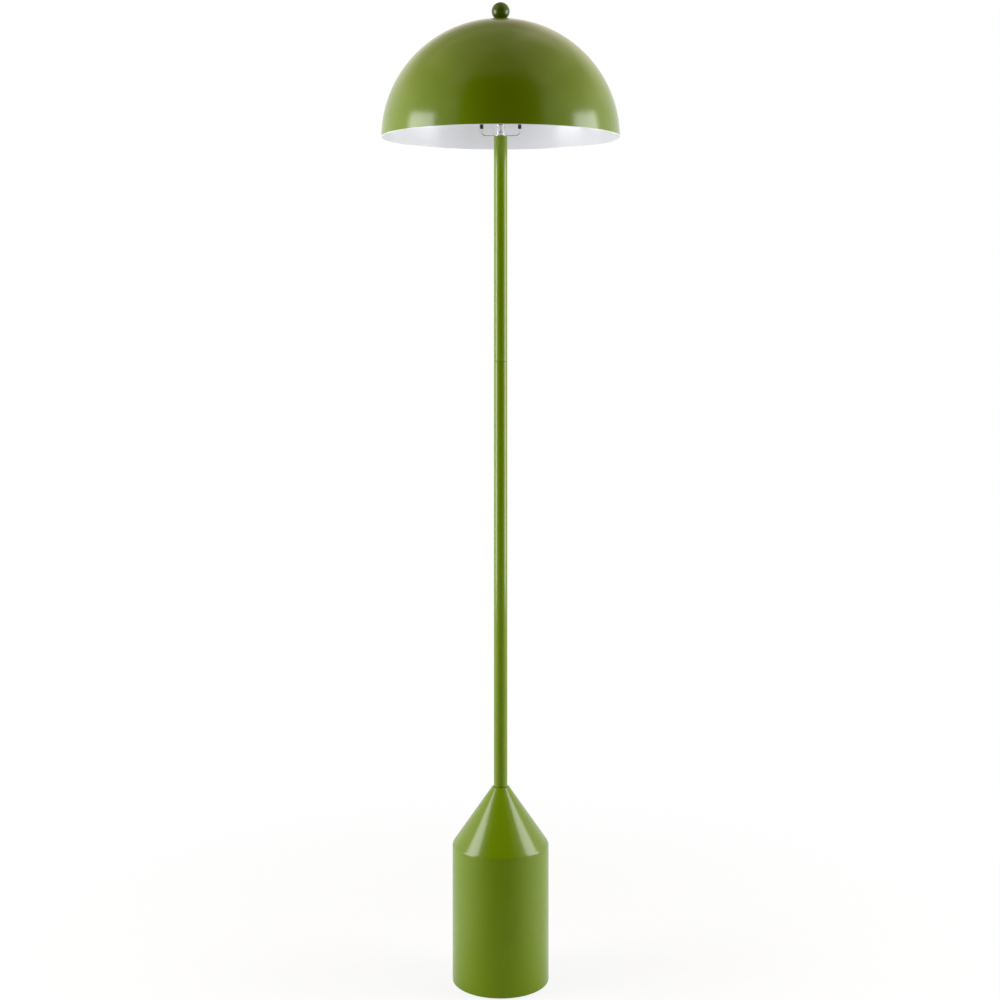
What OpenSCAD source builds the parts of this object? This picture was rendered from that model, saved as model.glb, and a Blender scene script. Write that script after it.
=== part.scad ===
// Floor lamp with a dome shade on a harp, a straight two-piece pole and a
// cylinder-and-cone base. Millimetres, +Z up, origin on the floor under the
// pole. The front of the lamp faces -Y and its lead leaves at the back, +Y.

/* [Base] */
// Diameter of the straight side of the base
base_d = 151.4; // [130:0.1:180]
// Height of the corner where the straight side meets the cone
base_h = 215.4; // [180:0.1:240]
// Wall of the spun base shell and cone
base_wall = 1.2; // [1:0.1:2]
// Radius of the rounded bottom edge
bottom_edge_r = 2.5; // [2.5:0.5:6]
// Radius of the rounded corner between side and cone
shoulder_r = 8; // [4:0.5:12]
// Width of the flange turned in under the base
flange_w = 11; // [8:0.5:14]
// Height of the cone above that corner
cone_h = 89.5; // [70:0.5:110]
// Diameter of the flat top of the cone
cone_top_d = 26.3; // [24:0.1:32]
// Depth of the lip inside the cone that locates the straight side
cone_lip_h = 14; // [8:1:20]

/* [Underside] */
// Thickness of the felt
felt_t = 1.2; // [1:0.1:3]
// How far the felt stays inside the edge of the base
felt_inset = 9; // [7:0.5:12]
// Thickness of the steel plate that closes the underside
plate_t = 2; // [1.5:0.1:3]
// Distance of the plate screws from the centre
plate_screw_reach = 45; // [40:1:48]
// Shank diameter of the plate screws
plate_screw_d = 3.8; // [3:0.1:5]
// Length of the plate screws
plate_screw_len = 14; // [10:1:20]

/* [Weight] */
// Height of the concrete weight
weight_h = 125; // [100:1:150]
// Diameter of the hollow under the weight
hollow_d = 56; // [50:1:62]
// Height of that hollow
hollow_h = 36; // [34:1:44]
// Width of the channel from the hollow to the back
channel_w = 30; // [26:1:34]
// Height of that channel
channel_h = 24; // [22:1:30]

/* [Tie rod] */
// Outer diameter of the hollow threaded rod and of the nipple
rod_d = 9.8; // [9.4:0.1:10.4]
// Diameter of the bore through both
rod_bore_d = 6.6; // [6:0.1:7]
// Length of thread below the lower nut
rod_tail = 1.6; // [0.5:0.1:3]
// How far the rod screws into the pole
rod_grip = 14; // [8:1:18]
// Width across the flats of its nuts
nut_af = 17; // [15:0.5:19]
// Height of its nuts
nut_h = 6.8; // [5:0.1:8]
// Diameter of its washers
washer_d = 30; // [24:1:36]
// Thickness of its washers
washer_t = 2; // [1:0.1:3]

/* [Lead inlet] */
// Height of the lead inlet above the underside of the shell
gland_rise = 13.4; // [12.5:0.1:16]
// Diameter of the bore for the lead
gland_bore_d = 7.2; // [6:0.1:8]
// Diameter of the part that passes through the shell
gland_d = 12; // [10.5:0.1:13]
// Diameter of the outer collar
gland_collar_d = 18; // [15:0.5:20]
// Thickness of the outer collar
gland_collar_t = 3; // [2:0.1:4]
// Length inside the shell
gland_tail = 12; // [8:0.5:14]
// Width across the flats of the nut inside
gland_nut_af = 16; // [14.5:0.5:17]
// Thickness of the nut inside
gland_nut_t = 4; // [3:0.1:6]
// Width, depth and height of the connector block
block_size = [22, 20, 12];
// Depth of the wells in which its screws stand
block_well_h = 6; // [4:0.5:8]
// Diameter of the inner lead
lead_d = 4.6; // [4:0.1:5]
// Bend radius of the inner lead
lead_bend_r = 20; // [20:0.5:22]
// Straight piece of lead between the connector block and the bend
lead_stub = 4; // [2:0.5:6]

/* [Pole] */
// Outer diameter of both tubes
pole_d = 21.3; // [20:0.1:23]
// Wall of both tubes
pole_wall = 1.2; // [1:0.1:1.6]
// Length of the lower tube
pole_lower_len = 670.3; // [500:0.1:800]
// Length of the upper tube
pole_upper_len = 355.5; // [250:0.1:500]
// Bevel on the tube ends
pole_bevel = 0.4; // [0.2:0.1:0.8]
// Length of the plugs welded into the tube ends
plug_len = 20; // [18:1:30]
// Diameter of the screw joint between the tubes
joint_d = 12; // [11:0.1:14]
// Length of the screw joint between the tubes
joint_len = 18; // [10:1:18]
// How far the nipple screws into the top of the pole
nipple_grip = 18; // [10:1:18]

/* [Harp] */
// Distance between the two arms of the saddle
saddle_span = 60; // [56:1:66]
// Thickness of the saddle strip
saddle_t = 1.5; // [1:0.1:2]
// Width of the saddle strip
saddle_w = 8; // [6:0.5:10]
// Diameter of the round pad in the middle of the saddle
saddle_pad_d = 19; // [16:0.5:21]
// Outer radius of the bends at the foot of the arms
saddle_bend_r = 7; // [5:0.5:8]
// Height of the arms
saddle_arm_h = 10.9; // [9:0.1:14]
// Length of the pegs that enter the sleeves
peg_len = 6.3; // [5:0.1:8]
// Diameter of the harp wire and the pegs
wire_d = 3; // [2.5:0.1:3.4]
// Height from the top of the pole to the top of the harp
harp_h = 181.4; // [170:0.1:200]
// Distance of the upright sides of the harp from the middle
harp_reach = 52; // [44:0.5:60]
// Straight length of wire above each peg
harp_leg = 15.7; // [14:0.1:20]
// Angle at which the wire runs outwards
harp_splay = 40; // [35:1:50]
// Radius of the bend out of the leg
harp_low_bend_r = 20; // [10:0.5:22]
// Radius of the bend back to upright
harp_mid_bend_r = 30; // [15:0.5:32]
// Radius of the two top corners
harp_top_bend_r = 45; // [30:0.5:47]
// Outer diameter of the sleeves
sleeve_d = 5.6; // [4.5:0.1:6.5]
// Length of the sleeves
sleeve_len = 13; // [10:0.1:14]
// Diameter of the seat on top of the harp
seat_d = 18; // [16:0.5:24]
// Thickness of that seat
seat_t = 2.5; // [1.5:0.1:4]
// Diameter of the hub that holds the wire ends
seat_hub_d = 12; // [10:0.5:14]
// Diameter of the threaded stud on the seat
stud_d = 6.2; // [5.8:0.1:6.4]
// Length of the stud above the seat
stud_len = 12.3; // [10:0.1:13]

/* [Shade] */
// Diameter of the rim
shade_d = 376; // [340:1:420]
// Height from the rim to the crown
shade_h = 186.3; // [170:0.1:187]
// Wall of the shade
shade_t = 0.8; // [0.6:0.1:1.2]
// Diameter of the flat on the crown
shade_flat_d = 24.8; // [22:0.1:30]
// Diameter of the hole for the stud
shade_hole_d = 8.5; // [7:0.1:10]
// Thickness of the washer under the shade
shade_washer_t = 1; // [0.5:0.1:2]

/* [Finial] */
// Diameter of the ball
ball_d = 28.8; // [24.8:0.1:32]
// Height of the centre of the ball above its foot
ball_rise = 13.6; // [12:0.1:15]
// Diameter of the foot under the ball
foot_d = 17; // [15:0.1:22]
// Diameter of the threaded insert
insert_d = 8; // [7.5:0.1:9]
// Length of the threaded insert
insert_len = 11; // [8:0.1:12]

/* [Socket] */
// Diameter of the hub of the socket cap
cap_hub_d = 15.2; // [14:0.1:17]
// Height of that hub
cap_hub_h = 14.7; // [12:0.1:18]
// Height of the rim of the cap above its bowl
cap_rim_h = 5.7; // [4:0.1:6]
// Thickness of the cap
cap_wall = 0.8; // [0.6:0.1:1]
// Height of the set screw above the foot of the hub
set_screw_rise = 4.5; // [3:0.1:7]
// Diameter of the set screw
set_screw_d = 2.8; // [2:0.1:3]
// Outer diameter of the socket shell
socket_d = 34; // [33.5:0.1:38]
// Wall of the socket shell
socket_wall = 0.6; // [0.4:0.1:0.8]
// Thickness of the card liner
liner_t = 0.7; // [0.4:0.1:0.8]
// How far the liner shows above the shell
liner_proud = 1; // [0.5:0.1:2]
// Diameter of the insulating core
core_d = 26.8; // [26:0.1:27.4]
// Height of the foot of the insulating core above the foot of the shell
core_rise = 2; // [1.5:0.1:3]
// Height of the insulating core
core_h = 13.5; // [13:0.1:16]
// Inner diameter of the screw shell
screw_shell_d = 26.5; // [26.3:0.1:27]
// Thickness of the screw shell
screw_shell_t = 0.5; // [0.3:0.1:0.6]
// Height of the screw shell
screw_shell_h = 22; // [18:0.5:26]

/* [Switch] */
// Height of the switch spindle above the foot of the core
switch_rise = 9.5; // [9.2:0.1:10]
// Diameter of the spindle
spindle_d = 3.2; // [2.6:0.1:4]
// Diameter of the knob
knob_d = 12; // [10:0.5:14]
// Length of the knob
knob_len = 15; // [10:0.5:20]
// Gap between the socket shell and the knob
knob_gap = 2.5; // [1.5:0.1:4]
// Number of grooves round the knob
knob_grooves = 12; // [8:1:16]

/* [Bulb] */
// Diameter of the screw cap of the bulb
bulb_cap_d = 25.9; // [25.6:0.1:26.1]
// Height of that screw cap
bulb_cap_h = 19; // [16:0.5:20]
// Diameter of the bulb
bulb_d = 60; // [55:0.5:60]
// Height of the middle of the bulb above its tip
bulb_rise = 74; // [70:0.5:76]
// Angle of the line where the diffuser meets the housing
bulb_split = 27; // [20:1:35]
// Diameter of the neck of the bulb
bulb_neck_d = 27; // [26.5:0.1:30]
// Wall of the housing and the diffuser
bulb_wall = 1.2; // [0.8:0.1:1.6]

/* [Fits] */
// Radial clearance of shafts, pins and threads
fit = 0.05; // [0.02:0.01:0.08]
// Radial clearance where one thin piece slips into another
slip = 0.1; // [0.05:0.01:0.2]
// Gap between loose neighbours
gap = 0.3; // [0.2:0.05:0.4]

/* [Hidden] */
$fn = 96;
cut = 1;                        // how far a cutting shape runs past what it cuts

leaf_green = [0.33, 0.45, 0.06];
inside_white = [0.9, 0.91, 0.92];
bright_steel = [0.75, 0.76, 0.78];
dark_steel = [0.35, 0.36, 0.38];
brass_tone = [0.78, 0.62, 0.3];
black_plastic = [0.06, 0.06, 0.06];

// Base
base_r = base_d / 2;
shell_z = felt_t;
flange_r = base_r - bottom_edge_r - flange_w;
flange_top = shell_z + base_wall;
cone_top_r = cone_top_d / 2;
cone_top = base_h + cone_h;
cone_slope = atan2(cone_h, base_r - cone_top_r);
shoulder_z = base_h - shoulder_r * tan((90 - cone_slope) / 2);
cone_lip_r = base_r - base_wall - slip;
cone_lip_inner_r = cone_lip_r - base_wall;
plate_top = shell_z + plate_t;
plate_screw_angles = [30, 150, 270];
plate_screw_head_r = plate_screw_d;
weight_top = flange_top + weight_h;
hollow_top = plate_top + hollow_h;
channel_top = plate_top + channel_h;

// Rod and lead
rod_r = rod_d / 2;
lower_nut_z = hollow_top - washer_t - nut_h;
rod_bottom = lower_nut_z - rod_tail;
rod_top = cone_top + rod_grip;
gland_z = shell_z + gland_rise;
lead_z = rod_bottom - lead_bend_r;
block_front = lead_bend_r + lead_stub;
block_well_floor = plate_top + block_size.z - block_well_h;
block_screw_spots = [for (x = [-1, 1], y = [-1, 1]) [x * block_size.x / 4, y * block_size.y / 4]];

// Pole
pole_r = pole_d / 2;
pole_inner_r = pole_r - pole_wall;
plug_r = pole_inner_r - fit;
seam_z = cone_top + pole_lower_len;
pole_top = seam_z + pole_upper_len;

// Harp
arm_x = saddle_span / 2;
saddle_top = pole_top + saddle_t;
arm_top = pole_top + saddle_arm_h;
peg_top = arm_top + peg_len;
wire_r = wire_d / 2;
wire_foot = peg_top + gap;
harp_top = pole_top + harp_h;
seat_z = harp_top - seat_t;
wire_top = seat_z - wire_r - gap;
low_bend_run = harp_low_bend_r * (1 - cos(harp_splay));
mid_bend_run = harp_mid_bend_r * (1 - cos(harp_splay));
splay_rise = (harp_reach - arm_x - low_bend_run - mid_bend_run) / tan(harp_splay);
leg_top = wire_foot + harp_leg;
leg_overlap = 2;
splay_foot = leg_top + harp_low_bend_r * sin(harp_splay);
side_foot = splay_foot + splay_rise + harp_mid_bend_r * sin(harp_splay);
side_top = wire_top - harp_top_bend_r;
stud_r = stud_d / 2;
stud_top = harp_top + stud_len;

// Shade and finial
shade_r = shade_d / 2;
crown_r = (shade_r * shade_r + shade_h * shade_h) / (2 * shade_h);
flat_sag = crown_r - sqrt(crown_r * crown_r - shade_flat_d * shade_flat_d / 4);
crown_inside = harp_top + shade_washer_t;
crown_flat = crown_inside + shade_t;
crown_z = crown_flat + flat_sag;
rim_z = crown_z - shade_h;
dome_centre = crown_z - crown_r;
ball_z = crown_flat + ball_rise;

// Socket
nipple_proud = 1;               // thread that stands up inside the cap
lead_sink = 2;                  // the sheath of the lead ends inside the nipple
liner_rise = 1;
terminal_rise = 4;
window_margin = 2;              // room round the switch spindle where it leaves the shell
knob_end = 2;                   // solid end of the knob
cap_hub_r = cap_hub_d / 2;
cap_z = saddle_top;
bowl_z = cap_z + cap_hub_h;
socket_r = socket_d / 2;
cap_r = socket_r + slip + cap_wall;
bowl_r = cap_r - cap_hub_r;
bowl_top = bowl_z + bowl_r;
cap_top = bowl_top + cap_rim_h;
socket_z = bowl_top;
liner_r = socket_r - socket_wall - slip;
liner_inner_r = liner_r - liner_t;
core_z = socket_z + core_rise;
core_r = core_d / 2;
core_top = core_z + core_h;
screw_shell_inner_r = screw_shell_d / 2;
screw_shell_top = core_top + screw_shell_h;
contact_top = core_top + screw_shell_t + gap;
socket_top = screw_shell_top + gap;
nipple_top = bowl_z + cap_wall + nipple_proud;
lead_top = nipple_top - lead_sink;
switch_z = core_z + switch_rise;
spindle_r = spindle_d / 2;
window_r = spindle_r + window_margin;
knob_back = socket_r + knob_gap;
conductor_r = 0.7;
terminal_z = core_z + terminal_rise;
terminal_r = 1.2;
terminal_len = 4.5;
terminal_head_r = 1.4;

// Bulb
bulb_z = contact_top + gap;
bulb_cap_r = bulb_cap_d / 2;
bulb_tip_h = 1.7;
bulb_insulator_h = 3;
bulb_thread_z = bulb_z + bulb_tip_h + bulb_insulator_h;
bulb_neck_z = bulb_thread_z + bulb_cap_h;
bulb_r = bulb_d / 2;
bulb_mid = bulb_z + bulb_rise;
bulb_split_z = bulb_mid - bulb_r * sin(bulb_split);
bulb_split_r = bulb_r * cos(bulb_split);

// Points of an arc in a plane, from one angle to another
function arc(centre, radius, from, to, steps = 8) =
    [for (i = [0:steps]) let (a = from + (to - from) * i / steps)
        centre + radius * [cos(a), sin(a)]];

// A round tube swept along points that lie in planes through the path
function unit(v) = v / norm(v);
function heading(path, i) =
    unit(path[min(i + 1, len(path) - 1)] - path[max(i - 1, 0)]);
module swept_rod(path, radius, side, sides = 10) {
    rings = len(path);
    points = [for (i = [0:rings - 1]) let (across = unit(cross(heading(path, i), side)))
        for (s = [0:sides - 1]) let (a = 360 * s / sides)
            path[i] + radius * (cos(a) * side + sin(a) * across)];
    walls = [for (i = [0:rings - 2], s = [0:sides - 1]) let (t = (s + 1) % sides)
        [i * sides + s, (i + 1) * sides + s, (i + 1) * sides + t, i * sides + t]];
    start_cap = [[for (s = [0:sides - 1]) s]];
    end_cap = [[for (s = [sides - 1:-1:0]) (rings - 1) * sides + s]];
    polyhedron(points = points, faces = concat(start_cap, walls, end_cap), convexity = 4);
}

module tube(outer_r, inner_r, z_from, z_to) {
    translate([0, 0, z_from]) difference() {
        cylinder(r = outer_r, h = z_to - z_from);
        translate([0, 0, -cut]) cylinder(r = inner_r, h = z_to - z_from + 2 * cut);
    }
}

module hex_nut(across_flats, bore_r, height) {
    difference() {
        cylinder(d = across_flats / cos(30), h = height, $fn = 6);
        translate([0, 0, -cut]) cylinder(r = bore_r, h = height + 2 * cut);
    }
}

// Turns a shape drawn along +Z so that it points to the back, at a height
module towards_back(z) {
    translate([0, 0, z]) rotate([-90, 0, 0]) children();
}

// The same towards the front
module towards_front(z) {
    translate([0, 0, z]) rotate([90, 0, 0]) children();
}

module felt_pad() {
    color(black_plastic) cylinder(r = base_r - felt_inset, h = felt_t);
}

module plate_screw(clearance, extra = 0) {
    head_h = plate_screw_head_r - plate_screw_d / 2;
    translate([0, 0, shell_z - extra])
        cylinder(r = plate_screw_d / 2 + clearance, h = plate_screw_len + 2 * extra);
    translate([0, 0, shell_z])
        cylinder(r1 = plate_screw_head_r + clearance, r2 = plate_screw_d / 2 + clearance, h = head_h);
}

module at_plate_screws() {
    for (a = plate_screw_angles) rotate(a) translate([plate_screw_reach, 0, 0]) children();
}

module base_plate() {
    color(dark_steel) difference() {
        translate([0, 0, shell_z]) cylinder(r = flange_r - gap, h = plate_t);
        at_plate_screws() plate_screw(slip, cut);
    }
}

module base_plate_screws() {
    color(bright_steel) at_plate_screws() plate_screw(0);
}

module base_shell() {
    edge = [base_r - bottom_edge_r, shell_z + bottom_edge_r];
    color(leaf_green) difference() {
        rotate_extrude() polygon(concat(
            [[flange_r, flange_top], [flange_r, shell_z]],
            arc(edge, bottom_edge_r, -90, 0),
            [[base_r, shoulder_z], [base_r - base_wall, shoulder_z]],
            arc(edge, bottom_edge_r - base_wall, 0, -90)));
        towards_back(gland_z) cylinder(r = gland_d / 2 + slip, h = base_r + cut);
    }
}

module base_weight() {
    outer_r = base_r - base_wall - gap;
    color("darkgray") difference() {
        rotate_extrude() polygon([
            [rod_r + gap, flange_top], [outer_r - bottom_edge_r, flange_top],
            [outer_r, flange_top + bottom_edge_r], [outer_r, weight_top],
            [rod_r + gap, weight_top]]);
        cylinder(r = flange_r, h = plate_top);
        translate([0, 0, flange_top - cut])
            cylinder(r = hollow_d / 2, h = hollow_top - flange_top + cut);
        translate([-channel_w / 2, 0, flange_top - cut])
            cube([channel_w, base_d, channel_top - flange_top + cut]);
        at_plate_screws() translate([0, 0, shell_z])
            cylinder(r = plate_screw_d / 2 + slip, h = plate_screw_len + gap);
    }
}

module base_cone() {
    inner_top_r = cone_top_r - base_wall * sin(cone_slope)
        + base_wall * tan(cone_slope / 2) * cos(cone_slope);
    lip_meets_cone = cone_top
        - (cone_lip_inner_r - cone_top_r + base_wall / sin(cone_slope)) * tan(cone_slope);
    color(leaf_green) rotate_extrude() polygon(concat(
        [[rod_r + gap, cone_top - base_wall], [inner_top_r, cone_top - base_wall],
         [cone_lip_inner_r, lip_meets_cone], [cone_lip_inner_r, shoulder_z - cone_lip_h],
         [cone_lip_r, shoulder_z - cone_lip_h], [cone_lip_r, shoulder_z]],
        arc([base_r - shoulder_r, shoulder_z], shoulder_r, 0, 90 - cone_slope),
        [[cone_top_r, cone_top], [rod_r + gap, cone_top]]));
}

module tie_rod() {
    color(bright_steel) tube(rod_r, rod_bore_d / 2, rod_bottom, rod_top);
}

module rod_nuts() {
    color(bright_steel) for (z = [lower_nut_z, weight_top + washer_t])
        translate([0, 0, z]) hex_nut(nut_af, rod_r + fit, nut_h);
}

module rod_washers() {
    color(bright_steel) for (z = [hollow_top - washer_t, weight_top])
        tube(washer_d / 2, rod_r + slip, z, z + washer_t);
}

module cord_gland() {
    collar_y = base_r;
    color(black_plastic) towards_back(gland_z) difference() {
        union() {
            translate([0, 0, collar_y - gland_tail]) cylinder(d = gland_d, h = gland_tail + cut);
            translate([0, 0, collar_y]) cylinder(d = gland_collar_d, h = gland_collar_t);
        }
        translate([0, 0, collar_y - gland_tail - cut])
            cylinder(d = gland_bore_d, h = gland_tail + gland_collar_t + 2 * cut);
    }
}

module gland_nut() {
    nut_r = gland_nut_af / 2 / cos(30);
    inner_r = base_r - base_wall;
    wall_y = sqrt(inner_r * inner_r - nut_r * nut_r);
    color(black_plastic) towards_back(gland_z) translate([0, 0, wall_y - gland_nut_t])
        hex_nut(gland_nut_af, gland_d / 2 + fit, gland_nut_t);
}

module connector_block() {
    well_r = 2.4;
    color(inside_white) difference() {
        translate([-block_size.x / 2, block_front, plate_top]) cube(block_size);
        for (spot = block_screw_spots)
            translate([spot.x, block_front + block_size.y / 2 + spot.y,
                       block_well_floor])
                cylinder(r = well_r, h = block_well_h + cut);
    }
}

module connector_screws() {
    screw_r = 2;
    screw_h = 3.5;
    color(bright_steel) for (spot = block_screw_spots)
        translate([spot.x, block_front + block_size.y / 2 + spot.y, block_well_floor])
            cylinder(r = screw_r, h = screw_h);
}

module inner_lead() {
    bend_centre = [0, lead_bend_r, lead_z + lead_bend_r];
    bend = [for (a = [0:9:90]) bend_centre + lead_bend_r * [0, -sin(a), -cos(a)]];
    color(inside_white) swept_rod(
        concat([[0, block_front, lead_z]], bend, [[0, 0, lead_top]]), lead_d / 2, [1, 0, 0]);
}

module lead_conductors() {
    pair_x = 1.2;
    parting_x = 3.5;
    crossing_x = 8;
    out_x = core_r + conductor_r + slip;
    color(brass_tone) for (way = [-1, 1]) swept_rod([
        [way * pair_x, 0, lead_top], [way * pair_x, 0, lead_top + 3],
        [way * parting_x, 0, lead_top + 6], [way * crossing_x, 0, core_z - 3.5],
        [way * (out_x - 1.5), 0, core_z - 2.6], [way * out_x, 0, core_z - 1],
        [way * out_x, 0, terminal_z - terminal_head_r]],
        conductor_r, [0, 1, 0], 8);
}

module pole_tube(z_from, z_to) {
    color(leaf_green) rotate_extrude() polygon([
        [pole_inner_r, z_from], [pole_r - pole_bevel, z_from], [pole_r, z_from + pole_bevel],
        [pole_r, z_to - pole_bevel], [pole_r - pole_bevel, z_to], [pole_inner_r, z_to]]);
}

module pole_lower() {
    pole_tube(cone_top, seam_z);
}

module pole_upper() {
    pole_tube(seam_z, pole_top);
}

module pole_bottom_plug() {
    color(bright_steel) tube(plug_r, rod_r + fit, cone_top, cone_top + plug_len);
}

module pole_top_plug() {
    color(bright_steel) tube(plug_r, rod_r + fit, pole_top - plug_len, pole_top);
}

module pole_joint_socket() {
    color(bright_steel) tube(plug_r, joint_d / 2 + fit, seam_z - plug_len, seam_z);
}

module pole_joint_stud() {
    color(bright_steel) difference() {
        union() {
            translate([0, 0, seam_z]) cylinder(r = plug_r, h = plug_len);
            translate([0, 0, seam_z - joint_len]) cylinder(d = joint_d, h = joint_len + cut);
        }
        translate([0, 0, seam_z - joint_len - cut])
            cylinder(d = rod_bore_d, h = joint_len + plug_len + 2 * cut);
    }
}

module nipple() {
    color(brass_tone) tube(rod_r, rod_bore_d / 2, pole_top - nipple_grip, nipple_top);
}

module harp_saddle() {
    peg_root = 2;
    outer_x = arm_x + saddle_t / 2;
    bend = [outer_x - saddle_bend_r, pole_top + saddle_bend_r];
    half = concat(
        [[0, saddle_top], [0, pole_top]],
        arc(bend, saddle_bend_r, -90, 0),
        [[outer_x, arm_top], [outer_x - saddle_t, arm_top]],
        arc(bend, saddle_bend_r - saddle_t, 0, -90));
    color(bright_steel) difference() {
        union() {
            for (way = [0, 1]) mirror([way, 0, 0]) {
                translate([0, saddle_w / 2, 0]) rotate([90, 0, 0])
                    linear_extrude(height = saddle_w) polygon(half);
                translate([arm_x, 0, arm_top - peg_root]) cylinder(r = wire_r, h = peg_len + peg_root);
            }
            translate([0, 0, pole_top]) cylinder(d = saddle_pad_d, h = saddle_t);
        }
        translate([0, 0, pole_top - cut]) cylinder(r = rod_r + slip, h = saddle_t + 2 * cut);
    }
}

// Right half of the harp's bent wire in the XZ plane, from the leg to the top
function in_xz(points) = [for (p = points) [p.x, 0, p.y]];
function harp_half() = in_xz(concat(
    [[arm_x, leg_top - leg_overlap]],
    arc([arm_x + harp_low_bend_r, leg_top], harp_low_bend_r, 180, 180 - harp_splay, 5),
    arc([harp_reach - harp_mid_bend_r, side_foot], harp_mid_bend_r, -harp_splay, 0, 5),
    arc([harp_reach - harp_top_bend_r, side_top], harp_top_bend_r, 0, 90, 10)));
function mirrored(path) = [for (i = [len(path) - 1:-1:0]) [-path[i].x, path[i].y, path[i].z]];

module harp_wire() {
    skin = 0.01;
    color(bright_steel) union() {
        for (way = [-1, 1]) translate([way * arm_x, 0, wire_foot])
            cylinder(r = wire_r, h = harp_leg);
        swept_rod(concat(harp_half(), mirrored(harp_half())), wire_r - skin, [0, 1, 0], 12);
    }
}

module harp_sleeve(way) {
    color(black_plastic) translate([way * arm_x, 0, 0])
        tube(sleeve_d / 2, wire_r + slip, arm_top + gap, arm_top + gap + sleeve_len);
}

module harp_sleeve_left() {
    harp_sleeve(-1);
}

module harp_sleeve_right() {
    harp_sleeve(1);
}

module harp_seat() {
    hub_floor = 1;
    hub_z = wire_top - wire_r - hub_floor;
    color(bright_steel) difference() {
        union() {
            translate([0, 0, hub_z]) cylinder(d = seat_hub_d, h = seat_z - hub_z + cut);
            translate([0, 0, seat_z]) cylinder(d = seat_d, h = seat_t);
            translate([0, 0, seat_z]) cylinder(r = stud_r, h = seat_t + stud_len);
        }
        translate([-seat_hub_d, 0, wire_top]) rotate([0, 90, 0])
            cylinder(r = wire_r + fit, h = 2 * seat_hub_d);
    }
}

module shade_washer() {
    color(black_plastic) tube(seat_d / 2, stud_r + slip, harp_top, crown_inside);
}

module shade() {
    color(leaf_green) difference() {
        translate([0, 0, dome_centre]) sphere(r = crown_r, $fn = 180);
        intersection() {
            translate([0, 0, dome_centre]) sphere(r = crown_r - shade_t, $fn = 180);
            translate([0, 0, crown_inside - shade_d]) cylinder(r = shade_d, h = shade_d);
        }
        translate([0, 0, rim_z - shade_d]) cylinder(r = shade_d, h = shade_d);
        translate([0, 0, crown_flat]) cylinder(r = shade_flat_d, h = shade_d);
        translate([0, 0, crown_inside - cut]) cylinder(d = shade_hole_d, h = shade_t + 2 * cut);
    }
}

module finial_ball() {
    color(leaf_green) difference() {
        union() {
            difference() {
                translate([0, 0, ball_z]) sphere(d = ball_d);
                translate([0, 0, crown_flat - ball_d]) cylinder(r = ball_d, h = ball_d);
            }
            translate([0, 0, crown_flat]) cylinder(d = foot_d, h = ball_rise);
        }
        translate([0, 0, crown_flat - cut]) cylinder(d = insert_d, h = insert_len + gap + cut);
        translate([0, 0, crown_flat - cut]) cylinder(r = stud_r + gap, h = stud_len + cut);
    }
}

module finial_insert() {
    color(brass_tone) tube(insert_d / 2 - fit, stud_r + fit, crown_flat, crown_flat + insert_len);
}

module socket_cap() {
    bowl = [cap_hub_r, bowl_top];
    color(bright_steel) difference() {
        rotate_extrude() polygon(concat(
            [[rod_r + fit, bowl_z + cap_wall], [rod_r + fit, cap_z], [cap_hub_r, cap_z]],
            arc(bowl, bowl_r, -90, 0),
            [[cap_r, cap_top], [cap_r - cap_wall, cap_top]],
            arc(bowl, bowl_r - cap_wall, 0, -90)));
        towards_front(cap_z + set_screw_rise) cylinder(d = set_screw_d + 2 * fit, h = cap_r);
    }
}

module socket_set_screw() {
    head_r = set_screw_d * 0.65;
    head_t = 1.6;
    slot_w = 0.5;
    color(dark_steel) towards_front(cap_z + set_screw_rise) difference() {
        union() {
            translate([0, 0, rod_r + fit]) cylinder(d = set_screw_d, h = cap_hub_r - rod_r);
            translate([0, 0, cap_hub_r]) cylinder(r = head_r, h = head_t);
        }
        translate([-head_r, -slot_w / 2, cap_hub_r + head_t / 2])
            cube([2 * head_r, slot_w, head_t]);
    }
}

module socket_shell() {
    bead = 0.5;
    bead_z = socket_top - 6;
    color(bright_steel) difference() {
        rotate_extrude() polygon([
            [socket_r - socket_wall, socket_z], [socket_r, socket_z],
            [socket_r, bead_z - 2 * bead], [socket_r + bead, bead_z - bead],
            [socket_r + bead, bead_z + bead], [socket_r, bead_z + 2 * bead],
            [socket_r, socket_top], [socket_r - socket_wall, socket_top]]);
        towards_front(switch_z) cylinder(r = window_r, h = socket_d);
    }
}

module socket_liner() {
    color([0.45, 0.32, 0.2]) difference() {
        tube(liner_r, liner_inner_r, socket_z + liner_rise, socket_top + liner_proud);
        towards_front(switch_z) cylinder(r = window_r, h = socket_d);
    }
}

module socket_core() {
    color([0.12, 0.1, 0.09]) difference() {
        translate([0, 0, core_z]) cylinder(r = core_r, h = core_h);
        towards_front(switch_z) cylinder(r = spindle_r + fit, h = socket_d);
        for (way = [-1, 1]) translate([0, 0, terminal_z]) rotate([0, way * 90, 0])
            translate([0, 0, core_r - terminal_len - gap])
                cylinder(r = terminal_r + fit, h = terminal_len + gap + cut);
    }
}

module socket_screw_shell() {
    floor_hole_r = 8;
    outer_r = screw_shell_inner_r + screw_shell_t;
    color(brass_tone) union() {
        tube(outer_r, floor_hole_r, core_top, core_top + screw_shell_t);
        tube(outer_r, screw_shell_inner_r, core_top, screw_shell_top);
    }
}

module socket_contact() {
    contact_r = 4;
    color(brass_tone) translate([0, 0, core_top]) cylinder(r = contact_r, h = contact_top - core_top);
}

module socket_terminals() {
    head_t = 1.2;
    color(brass_tone) for (way = [-1, 1]) translate([0, 0, terminal_z]) rotate([0, way * 90, 0]) {
        translate([0, 0, core_r - terminal_len]) cylinder(r = terminal_r, h = terminal_len + head_t / 2);
        translate([0, 0, core_r + slip]) cylinder(r = terminal_head_r - fit, h = head_t);
    }
}

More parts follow.
